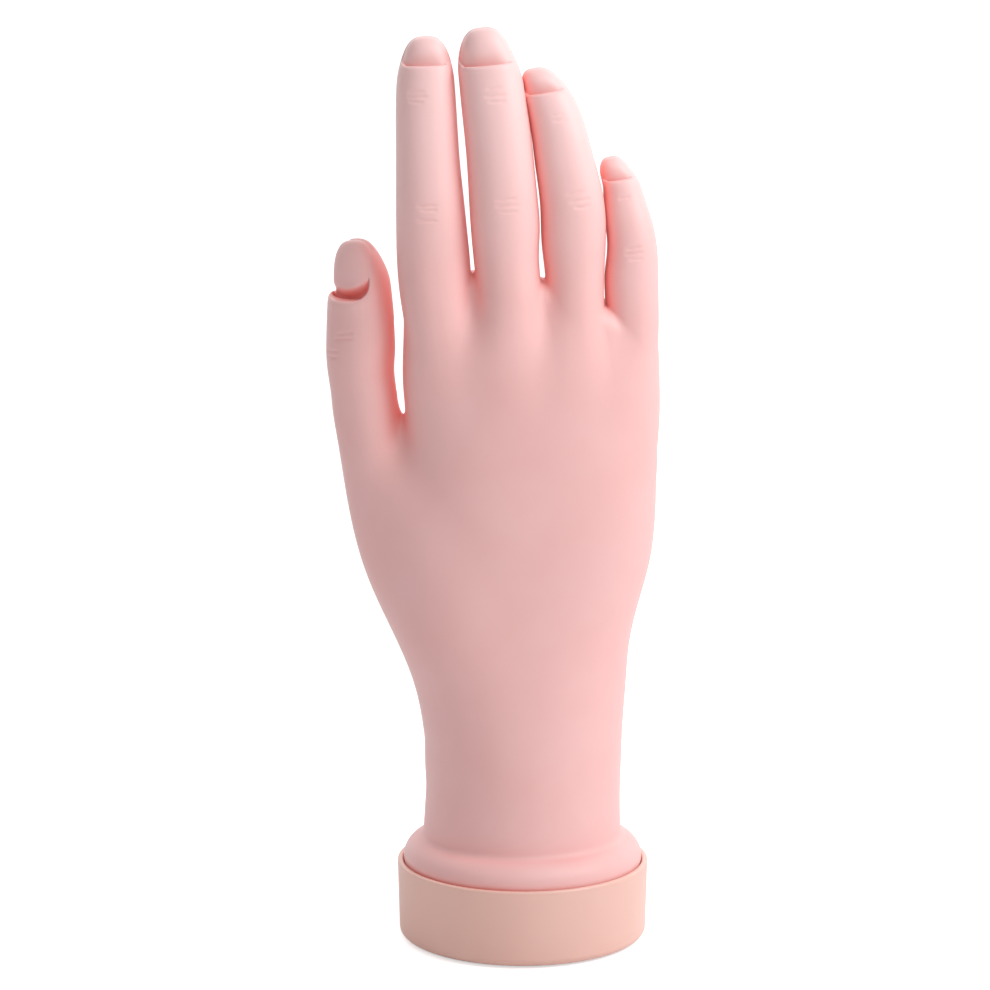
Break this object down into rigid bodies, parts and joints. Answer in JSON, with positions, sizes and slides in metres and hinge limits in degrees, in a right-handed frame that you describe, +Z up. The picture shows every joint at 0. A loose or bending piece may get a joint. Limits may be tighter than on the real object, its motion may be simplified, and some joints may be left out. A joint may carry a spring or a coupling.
{
  "type": "nail practice hand",
  "caption": "Soft practice hand for nail work, with bendable fingers on a jointed keel and empty nail slots, standing in a round cup base on which it swivels.",
  "frame": {"origin": "centre of the underside of the base, where it stands", "axes": "+Z up along the hand to the fingertips, -Y out of the back of the hand where the nails are, +X to the little finger's side, so the thumb is at -X"},
  "size_m": [0.0832, 0.0636, 0.2301],
  "materials": {
    "skin": "satin soft vinyl, skin coloured",
    "cup": "satin moulded, skin coloured",
    "core": "moulded",
    "keel": "moulded",
    "steel": "zinc plated",
    "pad": "matt foam rubber"
  },
  "bodies": {
    "base": {"base_cup": "cup", "foot_pad": "pad", "pivot_washer": "steel"},
    "hand": {"pivot_screw": "steel", "wrist_plug": "core", "palm_frame": "keel", "palm_skin": "skin"},
    "index_near": {"index_near_skin": "skin", "index_near_bone": "keel", "index_near_pin": "steel"},
    "index_mid": {"index_mid_skin": "skin", "index_mid_bone": "keel", "index_mid_pin": "steel"},
    "index_tip": {"index_tip_skin": "skin", "index_tip_bone": "keel", "index_tip_pin": "steel"},
    "middle_near": {"middle_near_skin": "skin", "middle_near_bone": "keel", "middle_near_pin": "steel"},
    "middle_mid": {"middle_mid_skin": "skin", "middle_mid_bone": "keel", "middle_mid_pin": "steel"},
    "middle_tip": {"middle_tip_skin": "skin", "middle_tip_bone": "keel", "middle_tip_pin": "steel"},
    "ring_near": {"ring_near_skin": "skin", "ring_near_bone": "keel", "ring_near_pin": "steel"},
    "ring_mid": {"ring_mid_skin": "skin", "ring_mid_bone": "keel", "ring_mid_pin": "steel"},
    "ring_tip": {"ring_tip_skin": "skin", "ring_tip_bone": "keel", "ring_tip_pin": "steel"},
    "little_near": {"little_near_skin": "skin", "little_near_bone": "keel", "little_near_pin": "steel"},
    "little_mid": {"little_mid_skin": "skin", "little_mid_bone": "keel", "little_mid_pin": "steel"},
    "little_tip": {"little_tip_skin": "skin", "little_tip_bone": "keel", "little_tip_pin": "steel"},
    "thumb_near": {"thumb_near_skin": "skin", "thumb_near_bone": "keel", "thumb_near_pin": "steel"},
    "thumb_tip": {"thumb_tip_skin": "skin", "thumb_tip_bone": "keel", "thumb_tip_pin": "steel"}
  },
  "joints": [
    {"name": "hand_swivel", "type": "hinge", "parent": "base", "child": "hand", "pos_m": [0, 0, 0], "axis": [0, 0, 1], "continuous": true},
    {"name": "index_near_bend", "type": "hinge", "parent": "hand", "child": "index_near", "pos_m": [-0.0222, -0.0014, 0.1735], "axis": [-0.9994, 0, -0.034], "range_deg": [0, 40]},
    {"name": "index_mid_bend", "type": "hinge", "parent": "index_near", "child": "index_mid", "pos_m": [-0.02293, -0.00205, 0.187], "axis": [-0.9994, 0, -0.034], "range_deg": [0, 60]},
    {"name": "index_tip_bend", "type": "hinge", "parent": "index_mid", "child": "index_tip", "pos_m": [-0.02394, -0.00107, 0.21348], "axis": [-0.9994, 0, -0.034], "range_deg": [0, 35]},
    {"name": "middle_near_bend", "type": "hinge", "parent": "hand", "child": "middle_near", "pos_m": [-0.0042, -0.0028, 0.1735], "axis": [-0.995, 0, -0.1004], "range_deg": [0, 40]},
    {"name": "middle_mid_bend", "type": "hinge", "parent": "middle_near", "child": "middle_mid", "pos_m": [-0.00491, -0.00349, 0.18741], "axis": [-0.995, 0, -0.1004], "range_deg": [0, 60]},
    {"name": "middle_tip_bend", "type": "hinge", "parent": "middle_mid", "child": "middle_tip", "pos_m": [-0.00751, -0.00246, 0.21307], "axis": [-0.995, 0, -0.1004], "range_deg": [0, 35]},
    {"name": "ring_near_bend", "type": "hinge", "parent": "hand", "child": "ring_near", "pos_m": [0.0127, -0.001, 0.1715], "axis": [-0.9852, 0, -0.1716], "range_deg": [0, 40]},
    {"name": "ring_mid_bend", "type": "hinge", "parent": "ring_near", "child": "ring_mid", "pos_m": [0.01185, -0.00159, 0.18733], "axis": [-0.9852, 0, -0.1716], "range_deg": [0, 60]},
    {"name": "ring_tip_bend", "type": "hinge", "parent": "ring_mid", "child": "ring_tip", "pos_m": [0.00777, -0.00074, 0.20782], "axis": [-0.9852, 0, -0.1716], "range_deg": [0, 35]},
    {"name": "little_near_bend", "type": "hinge", "parent": "hand", "child": "little_near", "pos_m": [0.02717, 0.0012, 0.164], "axis": [-0.9859, 0, -0.1676], "range_deg": [0, 40]},
    {"name": "little_mid_bend", "type": "hinge", "parent": "little_near", "child": "little_mid", "pos_m": [0.0269, 0.00092, 0.17476], "axis": [-0.9859, 0, -0.1676], "range_deg": [0, 60]},
    {"name": "little_tip_bend", "type": "hinge", "parent": "little_mid", "child": "little_tip", "pos_m": [0.02512, 0.00136, 0.18787], "axis": [-0.9859, 0, -0.1676], "range_deg": [0, 35]},
    {"name": "thumb_near_bend", "type": "hinge", "parent": "hand", "child": "thumb_near", "pos_m": [-0.0392, 0.0045, 0.139], "axis": [-0.9038, 0.4226, -0.0669], "range_deg": [0, 30]},
    {"name": "thumb_tip_bend", "type": "hinge", "parent": "thumb_near", "child": "thumb_tip", "pos_m": [-0.04066, 0.00419, 0.15525], "axis": [-0.9038, 0.4226, -0.0669], "range_deg": [0, 40]}
  ]
}
